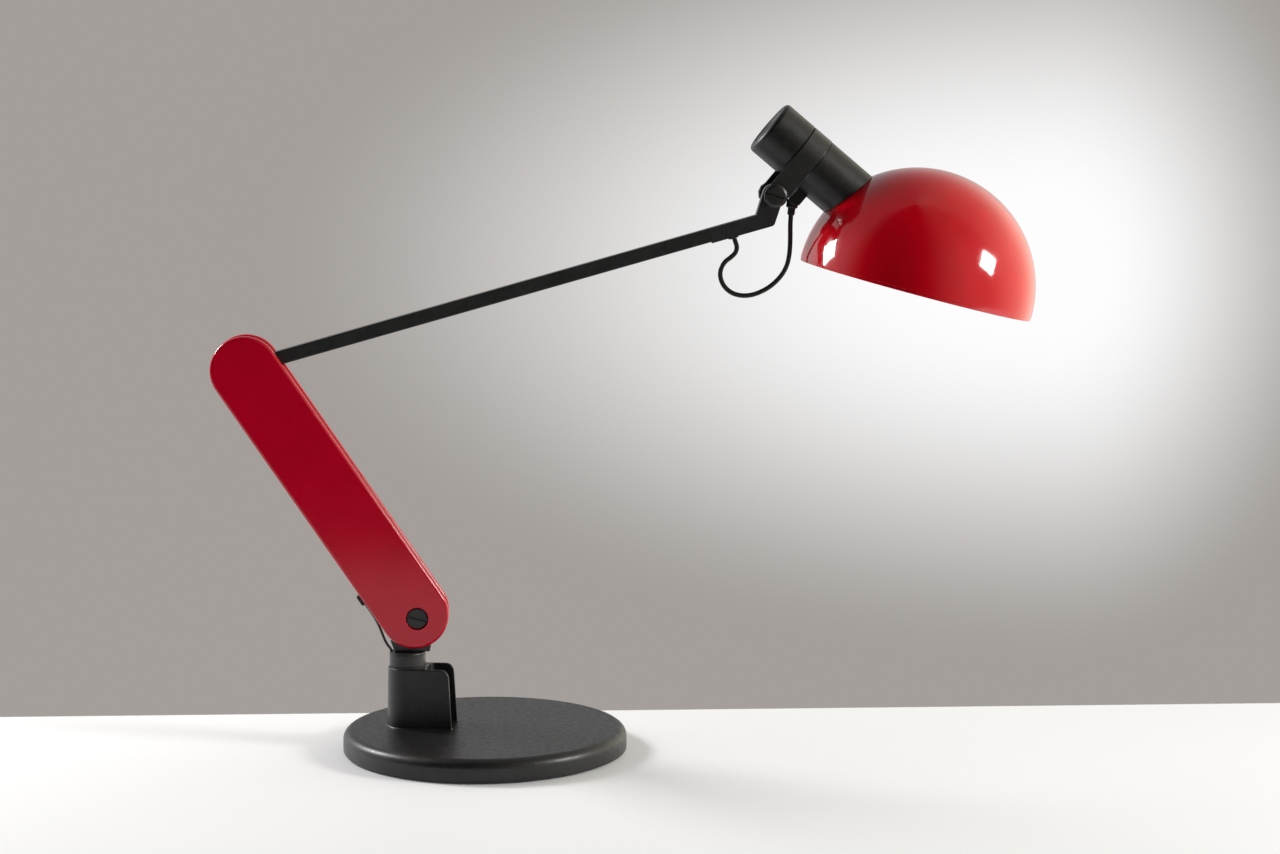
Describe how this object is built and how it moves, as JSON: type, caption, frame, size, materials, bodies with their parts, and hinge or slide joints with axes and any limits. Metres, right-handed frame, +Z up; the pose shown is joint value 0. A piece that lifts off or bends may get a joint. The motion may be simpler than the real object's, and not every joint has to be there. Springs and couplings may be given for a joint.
{
  "type": "architect desk lamp",
  "caption": "Desk lamp with a heavy round base, a swivelling post, a two-plate lower arm, a slim upper arm and a tilting domed shade held in a yoke.",
  "frame": {"origin": "middle of the base disc, on the surface the lamp stands on", "axes": "+Z up, +X from the base towards the head in the plane of both arms, +Y to the back of the lamp"},
  "size_m": [0.6908, 0.2423, 0.544],
  "materials": {
    "iron_black": "satin",
    "steel_plain": "satin",
    "rubber_black": "matte",
    "bush_brass": "satin",
    "washer_nylon": "matte",
    "alloy_black": "satin",
    "plate_red": "gloss",
    "plastic_black": "satin",
    "button_black": "gloss",
    "switch_pale": "matte",
    "steel_black": "satin",
    "holder_ceramic": "gloss",
    "bulb_alloy": "satin",
    "bulb_opal": "satin",
    "ring_pale": "satin",
    "shade_red": "gloss"
  },
  "bodies": {
    "base": {"base_casting": "iron_black", "ballast_plate": "steel_plain", "foot_pad": "rubber_black", "ballast_screw_1": "steel_plain", "ballast_screw_2": "steel_plain", "ballast_screw_3": "steel_plain", "mains_bush": "rubber_black", "post_bush": "bush_brass", "post_washer": "washer_nylon"},
    "post": {"swivel_post": "alloy_black", "post_nut_washer": "steel_plain", "post_nut": "steel_plain", "pivot_block": "alloy_black", "lower_lead": "rubber_black"},
    "lower_arm": {"arm_plate_front": "plate_red", "arm_plate_rear": "plate_red", "arm_core": "plastic_black", "plate_screw_1": "steel_black", "plate_screw_2": "steel_black", "plate_screw_3": "steel_black", "lower_bolt": "steel_black", "lower_nut": "steel_black", "upper_axle": "steel_plain", "upper_nut": "steel_black", "lower_washer_front": "washer_nylon", "lower_washer_rear": "washer_nylon", "upper_washer_front": "washer_nylon", "upper_washer_rear": "washer_nylon", "lead_grommet": "rubber_black"},
    "upper_arm": {"upper_hub": "alloy_black", "arm_bar": "steel_black", "grub_screw_1": "steel_plain", "grub_screw_2": "steel_plain", "elbow_casting": "alloy_black", "bar_grommet": "rubber_black"},
    "head": {"head_yoke": "steel_black", "hinge_screw": "steel_black", "hinge_nut": "steel_black", "hinge_spacer_front": "plastic_black", "hinge_spacer_rear": "plastic_black", "socket_body": "plastic_black", "rear_cap": "plastic_black", "switch_housing": "switch_pale", "lamp_holder": "holder_ceramic", "bulb_cap": "bulb_alloy", "bulb_glass": "bulb_opal", "shade_ring": "ring_pale", "shade": "shade_red", "cord_gland": "plastic_black", "cord_relief": "rubber_black", "head_cord": "rubber_black"},
    "button": {"switch_button": "button_black"}
  },
  "joints": [
    {"name": "base_swivel", "type": "hinge", "parent": "base", "child": "post", "pos_m": [-0.0654, 0.0089, 0.05], "axis": [0, 0, 1], "range_deg": [-150, 150]},
    {"name": "lower_arm_tilt", "type": "hinge", "parent": "post", "child": "lower_arm", "pos_m": [-0.0567, 0.0089, 0.114], "axis": [0, 1, 0], "range_deg": [-35, 40], "deforming": ["lower_lead"]},
    {"name": "upper_arm_tilt", "type": "hinge", "parent": "lower_arm", "child": "upper_arm", "pos_m": [-0.19985, 0.0089, 0.32744], "axis": [0, 1, 0], "range_deg": [-45, 35]},
    {"name": "head_tilt", "type": "hinge", "parent": "upper_arm", "child": "head", "pos_m": [0.24321, 0.0089, 0.4692], "axis": [0, 1, 0], "range_deg": [-60, 20], "deforming": ["head_cord"]},
    {"name": "switch_press", "type": "slide", "parent": "head", "child": "button", "axis": [0.7631, 0, -0.6463], "range_m": [0, 0.002], "stiffness_N_per_m": 400, "springref_m": -0.001}
  ]
}
